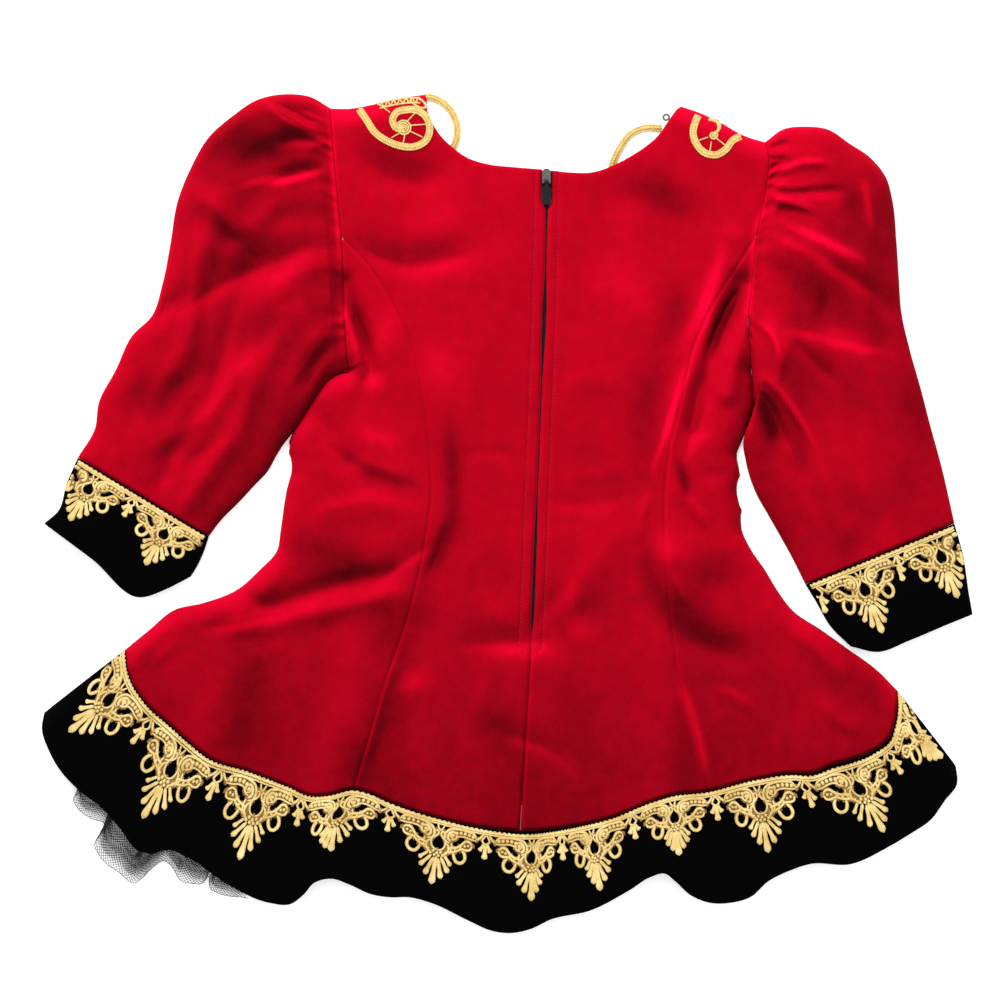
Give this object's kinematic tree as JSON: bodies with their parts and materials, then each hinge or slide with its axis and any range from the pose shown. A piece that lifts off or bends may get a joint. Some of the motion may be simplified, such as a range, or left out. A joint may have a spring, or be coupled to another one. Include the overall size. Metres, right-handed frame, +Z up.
{
  "type": "child's velvet costume dress with lace trim",
  "caption": "Velvet costume dress with puff sleeves, centre back zip, black bands and scalloped lace trim, laid flat face down.",
  "frame": {"origin": "middle of the outline in plan, on the surface that the dress lies on", "axes": "+X to the wearer's right sleeve as laid face down, the picture's right; +Y from the hem towards the neck; +Z up, out of the back of the dress"},
  "size_m": [0.717, 0.6464, 0.0305],
  "materials": {
    "red_velvet": "matte pile",
    "black_velvet": "matte pile",
    "gold_lace": "metallic thread",
    "black_net": "stiff net",
    "zip_black": "semi-gloss",
    "nickel": "plated"
  },
  "bodies": {
    "dress": {"back_centre_left": "red_velvet", "back_centre_right": "red_velvet", "back_side_left": "red_velvet", "back_side_right": "red_velvet", "front_panel": "red_velvet", "sleeve_left": "red_velvet", "sleeve_right": "red_velvet", "cuff_band_left": "black_velvet", "cuff_band_right": "black_velvet", "hem_band_back": "black_velvet", "hem_band_front": "black_velvet", "hem_lace": "gold_lace", "cuff_lace_left": "gold_lace", "cuff_lace_right": "gold_lace", "shoulder_braid_left": "gold_lace", "shoulder_edging_left": "gold_lace", "shoulder_braid_right": "gold_lace", "shoulder_drop_right": "gold_lace", "neck_braid_left": "gold_lace", "neck_braid_right": "gold_lace", "underskirt_net": "black_net", "zip_tape": "zip_black", "zip_slider": "nickel", "neck_eye": "nickel"},
    "zip_pull": {"zip_pull": "zip_black"}
  },
  "joints": [
    {"name": "pull_hinge", "type": "hinge", "parent": "dress", "child": "zip_pull", "pos_m": [0.0292, 0.2546, 0.01545], "axis": [-1, 0, 0], "range_deg": [0, 150]}
  ]
}
